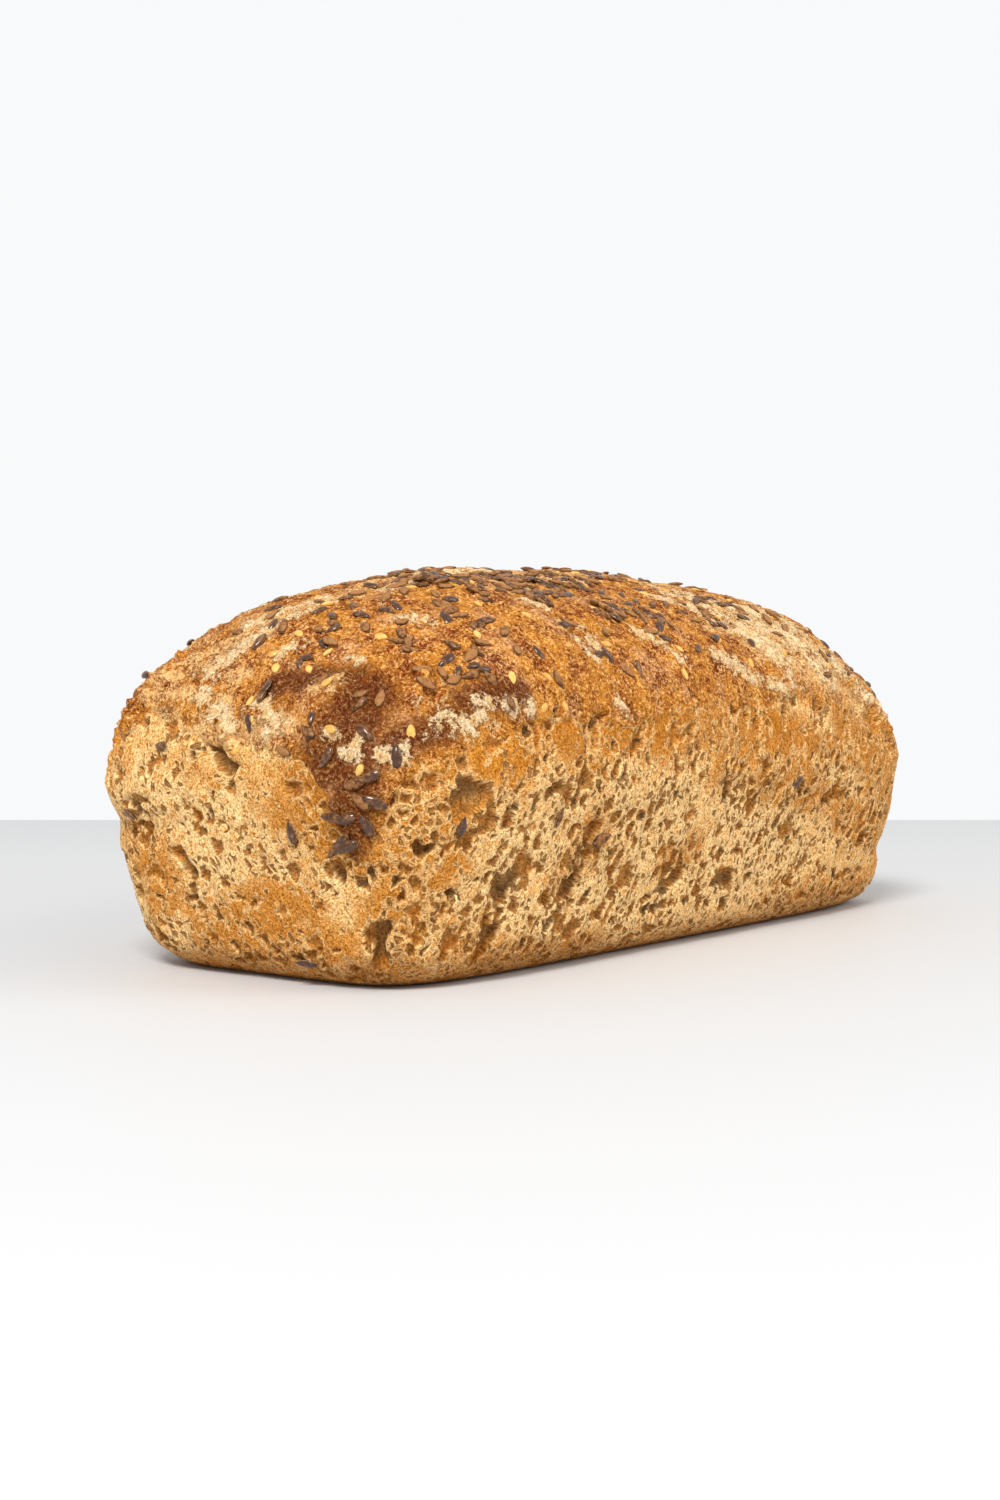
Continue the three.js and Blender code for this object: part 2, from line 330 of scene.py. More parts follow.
marks = {
    "tears": [  # open bubbles and torn skin
        ((-91, -46, 40), (-87, -46.5, 39.5), 3.6),
        ((-66.7, -49, 42), (-66.3, -49, 45), 1.5),
        ((0, -49, 38), (2.5, -49, 33.5), 2.2),
        ((-32, -50, 45), (-32, -50, 46), 1.1),
        ((-29.7, -50, 41), (-29.3, -50, 42.5), 1.3),
        ((-20.6, -50, 40.6), (-20.2, -50, 42), 1.3),
        ((-74.5, -44.5, 19), (-72, -45, 22.5), 3.4),
        ((-53.5, -45, 17.5), (-50.5, -46.5, 26), 3.2),
        ((-60, -43, 8), (-56.5, -43.5, 13), 1.7),
        ((6, -44, 13.7), (11, -44, 14), 2.6),
        ((-22, -44, 13.4), (-10.5, -44.6, 16.5), 1.7),
        ((-91, -42, 20.4), (-87, -42.5, 19.6), 2.1),
        ((-78, -41.5, 7.6), (-75, -42, 11), 2.4),
        ((-97, -42, 28.4), (-94, -42, 28.8), 2.4),
        ((-57.5, -49, 35), (-55.5, -49.5, 39), 1.1),
        ((-76.2, -48, 35.6), (-76, -48, 36.4), 1.4),
        ((-64.6, -49.5, 38.9), (-62.5, -49.5, 39.5), 1.8),
        ((-43, -50, 39.4), (-40.5, -50, 40.2), 1.7),
        ((-49.5, -48, 30), (-47.5, -48, 30.4), 1.4),
        ((-98.4, -32.6, 7), (-98.8, -33.4, 12), 3.2),
        ((-18, -43, 10.3), (-15, -43, 10.6), 1.9),
        ((7, -42.7, 8.3), (11, -42.7, 8.6), 2.2),
        ((30.7, -48, 28.6), (31, -48, 31), 1.7),
        ((50, -48, 33), (51.6, -48, 30), 1.9),
        ((28, -46.7, 25), (31, -46.7, 24.2), 2.6),
        ((60, -45, 18), (62, -45, 19), 2.2),
        ((35, -49, 33), (35.4, -49, 35), 0.9),
        ((-108.6, 7.5, 45.5), (-108.6, 3, 47.5), 2.3),
        ((-108.8, 1, 45.5), (-108.8, -2, 43), 2.0),
        ((-107.2, 26, 35.5), (-107.2, 23.5, 32.5), 1.7),
        ((-105, 14, 25), (-105, 12, 22.5), 2.6),
        ((-104, -26, 25), (-104, -27, 22.4), 1.6),
    ],
    "cream": [  # flour and pale dough that stuck to the baked crust
        ((-106.3, -8.5, 55.5), (-107.2, -12.5, 51.6), 3.8),
        ((-98, -5, 67), (-94.5, -9, 69), 2.8),
        ((-96, -22, 65.5), (-95, -24, 65), 2.1),
        ((-106.4, -26, 51), (-106.2, -28, 50.6), 1.8),
        ((-106.3, -29.5, 47.2), (-105.5, -33, 46.8), 2.1),
        ((-103, -37, 46.4), (-99, -39.5, 46.8), 2.8),
        ((-104.5, -32.8, 49.3), (-104, -33.4, 49.2), 1.8),
        ((-81, -22, 73), (-76, -27.5, 71.5), 2.5),
        ((-84, -43.5, 56), (-70, -47, 55), 2.5),
        ((-92, -42, 53), (-86, -44.3, 51.5), 3.8),
        ((-84.5, -44.5, 53.2), (-80, -46, 52.6), 2.2),
        ((-45, -36, 72), (-43, -43.5, 64.5), 2.0),
        ((-20, -38, 71), (-12, -44.5, 64.4), 2.6),
        ((18, -30, 77), (30, -42, 68), 4.4),
        ((22, -20, 80), (56, -34, 72), 6.2),
        ((34, -33, 73), (66, -42, 62), 6.2),
        ((5, -44, 65.4), (32, -48, 56), 3.0),
        ((60, -42, 64), (84, -45, 50), 5.6),
        ((26, -32, 77), (34, -45, 64), 6.5),
        ((42, -32, 75), (52, -45, 63), 7.5),
        ((66, -14, 77), (88, -30, 62), 7.0),
        ((-102, 11, 62.5), (-93, 3, 70), 4.2),
        ((-92, 2, 71), (-80, -3.5, 75.8), 2.8),
        ((-105.5, 9, 57.5), (-107.6, -1, 52), 3.2),
        ((-62.6, -48, 54.5), (-62.4, -48.6, 51), 1.6),
        ((-41, -48, 56.5), (-39, -49, 53), 1.6),
        ((-89, 10, 72), (-78, 1, 77), 3.2),
        ((-70, -9.5, 78.8), (-57, -11, 80.7), 2.6),
        ((-56, -7, 82), (-34, -9, 83.5), 3.6),
        ((-28, -14, 82.3), (-10, -17, 81.8), 3.0),
        ((-49, -29, 75.6), (-44, -31.5, 74.8), 2.2),
        ((-39, -37.5, 71), (-38.6, -43, 65.6), 2.2),
        ((8, -26, 79), (24, -30, 76), 3.2),
    ],
    "dark": [  # the deepest browned places
        ((-106.5, -31.5, 30), (-104, -33, 46), 6.0),
        ((-107, -27, 46), (-101, -31, 57), 8.0),
        ((-101, -38, 48), (-88, -43.5, 53), 4.5),
        ((-85, -43, 57), (-72, -46, 58), 4.0),
        ((-108, 22, 50), (-108, 18, 53), 4.0),
        ((-103, -10, 60), (-98, -26, 61), 4.5),
    ],
    "gold": [  # where the skin is thin and the dough below shines through
        ((-101, -38, 10), (-94, -42, 34), 11.0),
        ((-90, -44, 12), (-76, -43, 6), 7.0),
        ((-70, -49, 49), (62, -49, 48), 6.5),
        ((-56, -47, 20), (-48, -48, 28), 6.0),
        ((-103, 4, 14), (-102, -18, 16), 6.0),
        ((-107, 30, 26), (-106, 20, 18), 8.0),
        ((-106, -22, 42), (-106, -24, 30), 6.0),
        ((0, -50, 45), (64, -49, 42), 8.5),
        ((62, -48, 44), (88, -43, 32), 12.0),
        ((88, -44, 48), (93, -43, 10), 8.0),
        ((16, -49, 37), (58, -48, 31), 6.0),
        ((60, -47, 26), (90, -43, 20), 7.0),
        ((30, -46, 7), (90, -43, 7), 5.0),
        ((-20, -46, 20), (-8, -46, 22), 4.5),
        ((-103, 12, 9), (-103, -26, 8), 6.5),
        ((-40, -45, 4), (-92, -42, 4), 5.0),
        ((-92, -42, 4), (-103, -24, 4), 5.0),
    ],
    "dust": [  # pale film of dough and flour
        ((-102, 22, 61), (-88, 5.4, 73), 6.0),
        ((-95, 8.5, 68), (-76, 1.6, 77.7), 4.5),
        ((-106.6, 3, 54.6), (-102, 2.3, 62), 4.0),
        ((-107.9, 11.4, 50.6), (-108.4, 4.2, 47.8), 3.5),
        ((-107, 24, 49), (-108, -10, 48), 7.5),
        ((-104, 26, 57), (-105, 12, 58), 3.0),
        ((-50, 6, 84), (70, 4, 80), 10.0),
        ((60, -18, 77), (86, -30, 65), 6.0),
        ((-104, -20, 60), (-100, -24, 62), 3.0),
        ((-107, -12, 53), (-106.6, -16, 51), 3.0),
        ((12, -36, 72), (47, -39, 68.5), 4.0),
        ((26, -43, 67), (65, -47.8, 53), 5.5),
        ((18, -28, 77), (60, -28, 75), 5.0),
        ((70, -36, 68), (92, -36, 58), 7.0),
        ((30, -34, 75), (58, -42, 65), 12.0),
        ((28, -48.5, 55.7), (50, -49.8, 48), 3.0),
        ((-46, -18, 80), (-30, -26, 77), 3.0),
    ],
    "calm": [  # few large holes
        ((-107, 26, 42), (-107, -16, 38), 13.0),
        ((-104, 22, 20), (-103, -22, 16), 12.0),
        ((58, -48, 48), (92, -43, 40), 12.0),
        ((90, -44, 40), (92, -43, 12), 8.0),
        ((10, -50, 46), (54, -49, 44), 5.0),
    ],
    "rough": [  # crumbly edges
        ((-105, 34, 50), (-100, 24, 66), 9.0),
        ((-106, 10, 44), (-107, -3, 48), 6.0),
        ((68, -45, 59), (87, -46, 45), 6.0),
        ((100, 20, 50), (92, 34, 62), 9.0),
    ],
    "dips": [  # corners that the dough never filled: place, then the narrow and the wide dip's depth
        ((-105, -33), 15.0, 12.0),
        ((-105, 36), 3.0, 2.0),
        ((104, -36), 5.0, 3.0),
        ((104, 36), 12.0, 8.0),
    ],
}


def markField(points, listed, both=False):
    found = np.zeros(len(points))
    if both:  # the far side, which the photograph doesn't show, has the same marks turned half round
        found = markField(points * (-1, -1, 1), listed)
    for start, end, radius in listed:
        line = np.subtract(end, start)
        along = np.clip((points - start) @ line / max(line @ line, 1e-9), 0, 1)
        gap = np.linalg.norm(points - start - along[:, None] * line, axis=1) / radius
        found = np.maximum(found, np.exp(-gap ** 2))
    return found


def rimField(points):  # height above the line where the tin skin ends
    x, y, z = points.T
    line = form["rimLine"] + 1.6 * np.sin(x / 21 + 0.6) + 0.8 * np.sin(x / 7.3 + y / 5.1)
    for (cornerX, cornerY), *depths in marks["dips"]:
        gap = np.hypot(1.6 * (x - cornerX), y - cornerY)
        for depth, far in zip(depths, form["dipReach"]):
            line -= depth * np.exp(-(gap / far) ** 2)
    return z - line


# The crust's recipe: one set of masks for the relief and for the colours

fieldNames = ("rim", "tears", "cream", "dark", "gold", "dust", "rough", "calm")
crust = {
    "slant": (0.42, 0.33, 0.85),  # the way that bubbles were pulled as the dough rose
    "pull": 0.28,  # how much longer it left them
    "wobble": (2.4, 2.0),  # how far across and how strong the bends in the outlines of holes are
    # cell size and wall in mm, and the share of the cells that are open
    "pins": {"cell": 1.6, "wall": 0.2, "share": 0.62},
    "holes": {"cell": 3.0, "wall": 0.34, "share": 0.5},
    "bubbles": {"cell": 5.4, "wall": 0.8, "share": 0.2},
    "noises": {  # size in mm, detail, roughness, shift
        "ragged": (6.0, 4.0, 0.6),  # the rim line's ups and downs
        "crowd": (12.0, 2.0, 0.55, 71.0),  # where holes crowd together
        "patches": (5.0, 3.0, 0.5, 31.0),
        "broken": (1.3, 4.0, 0.75, 11.0),  # outlines of flakes and films
        "torn": (4.5, 2.0, 0.55, 13.0),
        "slow": (8.0, 2.0, 0.55),
        "lumps": (2.4, 3.0, 0.6, 5.0),
        "crumbs": (4.5, 3.0, 0.55, 61.0),
        "grain": (0.7, 3.0, 0.8, 3.0),
        "fine": (0.4, 2.0, 0.8, 7.0),
        "mottle": (2.2, 4.0, 0.7, 17.0),
        "broad": (17.0, 3.0, 0.6, 41.0),
        "drift": (3.0, 3.0, 0.65, 23.0),
        # which pores get the painted black shade at their bottoms
        "poreShade": (3.4, 2.0, 0.55, 97.0),
        "browning": (6.0, 4.0, 0.65, 53.0),
        "bloom": (9.0, 4.0, 0.65, 83.0),
    },
    "raggedRim": 7.0,  # how far the rim line goes up and down
    "depths": {"holes": 1.0, "bubbles": 1.6, "tears": 1.3, "torn": 1.4, "bump": 1.1},  # in mm
    "softness": 2.0,  # how much wider the walls of holes are in the mesh than in the colours
    "rises": {"slow": 0.7, "crumbs": 4.5, "flakes": 0.3, "step": 0.5},
    "shine": 0.1,
    "roughness": (0.62, 0.25),  # the least, and how much more it gets
    "skinLight": colour(255, 215, 151),
    "skinMid": colour(244, 176, 94),
    "skinGold": colour(202, 124, 24),
    "skinBrown": colour(150, 86, 16),
    "floorGold": colour(204, 134, 38),
    "floorOrange": colour(178, 102, 22),
    "floorBrown": colour(84, 44, 10),
    "floorGrey": colour(112, 76, 34),
    # painted shade: the black deep in some pores
    "poreShadeBlack": colour(44, 26, 14),
    "crustDark": colour(64, 26, 6),
    "crustBurnt": colour(96, 42, 12),
    "crustRed": colour(148, 74, 24),
    "crustGold": colour(202, 130, 40),
    "crustRose": colour(204, 148, 104),
    "crustPale": colour(240, 188, 122),
    "cream": colour(232, 190, 128),
    "flour": colour(243, 218, 178),
}


def speckle(pen, place, name):  # one of the crust's noises
    return pen.noise(place, *crust["noises"][name])


def holesIn(pen, place, kind, thick):  # distance to the edge of an open cell, in mm, below 0 inside
    chance, width = pen.cells(place, kind["cell"])
    edge = pen.walls(place, kind["cell"])
    there = pen.maths("LESS_THAN", chance, thick * kind["share"])
    return edge * (1.0 - there * 2.0) + (width + 0.4) * kind["wall"] + (1.0 - there) * 0.3


def crustMasks(pen, place, fields, edge):
    rim, tears, cream = (fields[name] for name in ("rim", "tears", "cream"))
    slant = Vector(crust["slant"]).normalized()
    along = pen.dot(place, slant)
    pulled = pen.vector("SUBTRACT", place, pen.scaled(tuple(slant), along * crust["pull"]))
    bent = pen.wobble(pulled, *crust["wobble"])
    ragged = rim + speckle(pen, place, "ragged") * crust["raggedRim"]
    skin = pen.ramp(ragged, 0.7, -0.7)
    patches = speckle(pen, bent, "patches")
    crowd = speckle(pen, place, "crowd")
    near = pen.ramp(ragged, -13.0, -2.0)  # just below the rim line there are fewer
    thick = pen.ramp(crowd, -0.4, 0.3, 0.8) + 0.55 - near * 0.25
    large = thick - fields["calm"] * 0.55
    small = thick - fields["gold"] * 0.3 - fields["calm"] * 0.45
    tearEdge = 0.26 - patches * 0.9 - tears * 0.45 - fields["gold"] * 0.1  # below 0 in a tear
    tear = pen.ramp(tearEdge, 0.02, -0.08 * edge)
    bubble = holesIn(pen, bent, crust["bubbles"], large)
    hole = holesIn(pen, pen.vector("ADD", bent, (3.1, 7.7, 5.2)), crust["holes"], large)
    pin = holesIn(pen, pen.vector("ADD", bent, (1.3, 0.7, 2.2)), crust["pins"], small)
    broken = speckle(pen, place, "broken") * 1.1 + speckle(pen, place, "torn") * 0.7
    whole = skin * (1.0 - tear * 0.5)
    rimEdge = pen.ramp(pen.maths("ABSOLUTE", ragged + 0.6), 0.7, 0.2) * pen.ramp(crowd, -0.1, 0.1)
    return {
        "skin": skin,
        "ragged": ragged,
        "tear": tear * skin,
        "bubble": pen.ramp(bubble, 0.0, -0.35 * edge) * skin,
        "hole": pen.ramp(hole, 0.0, -0.3 * edge) * whole,
        "pin": pen.ramp(pin, 0.0, -0.2 * edge) * whole,
        # pale lips round holes and along the rim line: the thin edge of the skin, partly a painted highlight
        "lip": pen.most(
            pen.ramp(pen.least(bubble, hole, pin + near * 0.25, tearEdge * 3.5), 0.34, 0.08),
            rimEdge,
        ) * skin,
        # how far inside a hole or tear; the floors get painted shade near the walls from it
        "deep": pen.ramp(pen.least(bubble, hole * 1.4, tearEdge * 5.0), -0.1, -0.7),
        "bowl": pen.most(
            pen.ramp(bubble, 0.1, -1.3) * skin,
            pen.ramp(hole, 0.1, -0.9) * whole * 0.7,
            pen.ramp(pin, 0.05, -0.4) * whole * 0.35,
            pen.ramp(tearEdge, 0.02, -0.25) * skin * 0.7,
        ),
        "flake": pen.ramp(broken * 1.3 + cream * 0.95, 0.52, 0.86) * (1.0 - skin),
        "film": pen.ramp(broken * 0.7 + patches * 0.5 + fields["dust"] * 0.8, 0.38, 0.64) * (1.0 - skin),
        "patches": patches,
    }


def crustRelief(pen, place, fields, masks):  # in mm
    depths, rises = crust["depths"], crust["rises"]
    gape = pen.most(
        masks["bubble"] * depths["bubbles"],
        masks["hole"] * depths["holes"],
        masks["tear"] * (fields["tears"] * depths["torn"] + depths["tears"]),
    )
    slow = speckle(pen, place, "slow") * rises["slow"]
    lumps = speckle(pen, place, "lumps")
    crumbs = speckle(pen, place, "crumbs") * fields["rough"] * rises["crumbs"]
    rise = lumps * (0.9 - masks["skin"] * 0.5) + masks["flake"] * rises["flakes"]
    step = (1.0 - masks["skin"]) * rises["step"]  # the crust stands proud of the skin
    return slow + crumbs + rise + step - gape


def crustTree():  # carves the smooth loaf
    takes = {"Geometry": "Geometry", "Relief": "Float", "Edge Softness": "Float", "Finish": "Material"}
    tree, pen, keys = newTree("crustRelief", "GeometryNodeTree", takes, {"Geometry": "Geometry"})
    given = pen.node("NodeGroupInput")
    base = pen.field("base", "FLOAT_VECTOR")
    fields = {name: pen.field(name) for name in fieldNames}
    masks = crustMasks(pen, base, fields, Value(pen, given.outputs["Edge Softness"]))
    height = crustRelief(pen, base, fields, masks) * Value(pen, given.outputs["Relief"])
    above = pen.ramp(pen.split(base)[2], 0.4, 3.0)  # the base stays flat
    normal = Value(pen, pen.node("GeometryNodeInputNormal").outputs[0])
    carve = pen.node("GeometryNodeSetPosition")
    tree.links.new(given.outputs["Geometry"], carve.inputs["Geometry"])
    pen.join(pen.scaled(normal, height * above * mm), carve.inputs["Offset"])
    paint = pen.node("GeometryNodeSetMaterial")
    tree.links.new(carve.outputs["Geometry"], paint.inputs["Geometry"])
    tree.links.new(given.outputs["Finish"], paint.inputs["Material"])
    tree.links.new(paint.outputs["Geometry"], pen.node("NodeGroupOutput").inputs[0])
    return tree, keys


def skinTone(pen, height, masks, fields, noises):  # cream low down, golden near the rim and where it is thin
    grain, mottle, broad, _ = noises
    tone = pen.blend(pen.ramp(mottle * 0.7 + grain, -0.3, 0.25), crust["skinMid"], crust["skinLight"])
    golden = pen.most(pen.ramp(masks["ragged"] + broad * 16.0, -19.0, -2.0), pen.ramp(height, 6.0, 0.5))
    thin = pen.ramp(masks["patches"] * 0.4 + broad * 0.5 + mottle * 0.4 + fields["gold"] * 0.6, 0.05, 0.45)
    golden = pen.most(golden * 0.95, thin * 0.85) * (1.0 - fields["dust"] * 0.8)
    tone = pen.blend(golden, tone, crust["skinGold"])
    tone = pen.blend(golden * pen.ramp(mottle + grain * 0.4, 0.0, 0.35) * 0.4, tone, crust["skinMid"])
    specks = pen.ramp(grain + mottle * 0.5 - golden * 0.1, -0.05, -0.4)
    tone = pen.blend(specks * 0.6, tone, crust["skinBrown"])
    band = pen.ramp(masks["ragged"] + mottle * 6.0, -18.0, -2.0) * fields["gold"]
    tone = pen.blend(band * 0.3, tone, crust["skinBrown"])
    # the pale lips, partly a painted highlight
    return pen.blend(masks["lip"] * (0.85 - golden * 0.4), tone, crust["skinLight"])


def floorTone(pen, place, masks, fields, noises):  # of open holes and tears
    grain, mottle, broad, drift = noises
    floor = pen.blend(pen.ramp(drift, -0.3, 0.3), crust["floorOrange"], crust["floorGold"])
    floor = pen.blend(pen.ramp(drift + broad * 0.8, 0.1, 0.4) * 0.45, floor, crust["floorGrey"])
    floor = pen.blend(pen.ramp(grain, 0.0, -0.4) * 0.5, floor, crust["floorBrown"])
    floor = pen.blend(pen.ramp(grain + mottle * 0.5, 0.05, 0.45) * 0.6, floor, crust["skinMid"])
    floor = pen.blend(pen.ramp(fields["tears"] + mottle * 0.8, 0.2, 0.8) * 0.8, floor, crust["floorGrey"])
    # painted shade: floors darker near the walls of holes
    floor = pen.blend((1.0 - masks["deep"]) * 0.2, floor, crust["floorBrown"])
    floor = pen.blend(masks["tear"] * (1.0 - fields["tears"] * 1.2) * 0.55, floor, crust["skinGold"])
    # painted shade: small pores darker and some nearly black, standing in for the shade deep inside them
    small = pen.most(masks["pin"] * 0.5, masks["hole"] * 0.35)
    floor = pen.blend(small * 0.65, floor, crust["floorBrown"])
    blackShade = pen.ramp(speckle(pen, place, "poreShade"), 0.16, 0.3) * pen.most(masks["pin"] * 0.7, masks["hole"])
    return pen.blend(blackShade * 0.8, floor, crust["poreShadeBlack"])


def bakedTone(pen, place, masks, fields, noises):  # of the open crust above the rim line
    grain, mottle, _, drift = noises
    patch = mottle * 0.8 + speckle(pen, place, "browning")
    baked = pen.blend(pen.ramp(patch, -0.35, 0.35), crust["crustRed"], crust["crustGold"])
    baked = pen.blend(pen.ramp(fields["rim"], 9.0, -1.0) * 0.45, baked, crust["crustGold"])
    bloom = pen.ramp(speckle(pen, place, "bloom") + grain * 0.3, 0.0, 0.4)
    baked = pen.blend(bloom * 0.7, baked, crust["crustRose"])
    burnt = pen.ramp(fields["dark"] * 1.3 + mottle + grain * 0.5, 0.25, 1.1)
    baked = pen.blend(burnt * 0.9, baked, crust["crustBurnt"])
    baked = pen.blend(pen.ramp(grain + patch * 0.3, 0.0, -0.4) * 0.9, baked, crust["crustDark"])
    pale = pen.ramp(grain + mottle * 0.3, 0.0, 0.32) * (0.8 - burnt * 0.5)
    baked = pen.blend(pale, baked, crust["crustPale"])
    film = pen.blend(pen.ramp(drift, -0.2, 0.3), crust["crustPale"], crust["cream"])
    film = pen.blend(pen.ramp(grain + mottle * 0.7, 0.1, -0.3) * 0.85, film, crust["crustRed"])
    baked = pen.blend(masks["film"] * 0.8, baked, film)
    flake = pen.blend(pen.ramp(mottle + grain * 0.6, -0.3, 0.3), crust["cream"], crust["flour"])
    return pen.blend(masks["flake"] * 0.8, baked, flake)


def crustLooks():  # colour, roughness and fine height of the crust, as a shader group
    takes = {"Place": "Vector"}
    for name in fieldNames:
        takes[name.capitalize()] = "Float"
    gives = {"Colour": "Color", "Roughness": "Float", "Height": "Float"}
    tree, pen, _ = newTree("crustLooks", "ShaderNodeTree", takes, gives)
    given = pen.node("NodeGroupInput").outputs
    place = Value(pen, given["Place"])
    fields = {name: Value(pen, given[name.capitalize()]) for name in fieldNames}
    masks = crustMasks(pen, place, fields, 1.0)
    height = pen.split(place)[2]
    noises = [speckle(pen, place, name) for name in ("grain", "mottle", "broad", "drift")]
    grain, mottle = noises[:2]

    opening = pen.most(masks["pin"], masks["hole"], masks["bubble"], masks["tear"])
    floor = floorTone(pen, place, masks, fields, noises)
    skin = pen.blend(opening * 0.85, skinTone(pen, height, masks, fields, noises), floor)
    # darker towards the base: partly browning against the tin, partly a painted contact shadow
    low = pen.ramp(height + mottle * 5.0, 10.0, 0.0) * (fields["gold"] * 0.6 + 0.45)
    skin = pen.blend(low, skin, crust["skinBrown"])
    surface = pen.blend(masks["skin"], bakedTone(pen, place, masks, fields, noises), skin)
    sparkle = speckle(pen, place, "fine") * (masks["skin"] * 0.4 + 1.15) + grain * 0.45 + 1.0

    relief = grain * 0.3 + mottle * 0.25 * (1.0 - masks["skin"]) - masks["bowl"] * crust["depths"]["bump"]
    relief = relief + masks["flake"] * 0.15 + masks["film"] * 0.1 + masks["lip"] * 0.15
    least, more = crust["roughness"]
    out = pen.node("NodeGroupOutput")
    pen.join(pen.scaled(surface, sparkle), out.inputs["Colour"])
    pen.join(pen.ramp(mottle, -0.5, 0.5, more) + least, out.inputs["Roughness"])
    pen.join(relief, out.inputs["Height"])
    return tree


def crustFinish():
    finish = bpy.data.materials.new("bakedCrust")
    finish.use_nodes = True
    pen = Pen(finish.node_tree)
    shader = finish.node_tree.nodes["Principled BSDF"]
    shader.inputs["Specular IOR Level"].default_value = crust["shine"]
    looks = pen.node("ShaderNodeGroup", node_tree=crustLooks())
    for socket, name in zip(looks.inputs, ("base", *fieldNames)):
        kept = pen.node("ShaderNodeAttribute", attribute_name=name)
        finish.node_tree.links.new(kept.outputs["Vector" if name == "base" else "Fac"], socket)
    bump = pen.node("ShaderNodeBump")
    bump.inputs["Strength"].default_value = 1.0
    bump.inputs["Distance"].default_value = mm
    finish.node_tree.links.new(looks.outputs["Height"], bump.inputs["Height"])
    finish.node_tree.links.new(bump.outputs["Normal"], shader.inputs["Normal"])
    finish.node_tree.links.new(looks.outputs["Colour"], shader.inputs["Base Color"])
    finish.node_tree.links.new(looks.outputs["Roughness"], shader.inputs["Roughness"])
    return finish


def makeCrust():
    mesh, base, shaped = bareLoaf("crust", form["cell"])
    keepField(mesh, "base", base)
    keepField(mesh, "rim", rimField(base))
    for name in fieldNames[1:]:
        keepField(mesh, name, markField(base, marks[name], both=True))
    low, high = shaped.min(axis=0), shaped.max(axis=0)
    toFrame = np.array([-(low[0] + high[0]) / 2, -(low[1] + high[1]) / 2, -low[2]])
    movePoints(mesh, (shaped + toFrame) * mm)
    tree, keys = crustTree()
    carved = linked("crustCarved", mesh)
    relief = carved.modifiers.new("relief", "NODES")
    relief.node_group = tree
    relief[keys["Relief"]] = 1.0
    relief[keys["Edge Softness"]] = crust["softness"]
    relief[keys["Finish"]] = crustFinish()
    count = 2 * len(mesh.polygons)
    thin = carved.modifiers.new("thin", "DECIMATE")
    thin.ratio = min(1.0, form["triangles"] / count)
    thin.use_collapse_triangulate = True
    made = settled(carved)
    made.shade_smooth()
    print("crust:", count, "triangles thinned to", len(made.polygons))
    return linked("crust", made), toFrame


crustPiece, toFrame = makeCrust()
print("moved into the frame by", np.round(toFrame, 2), "mm")


# Seeds: flax thick over the crest and in a heap at the near corner, with a few of sesame

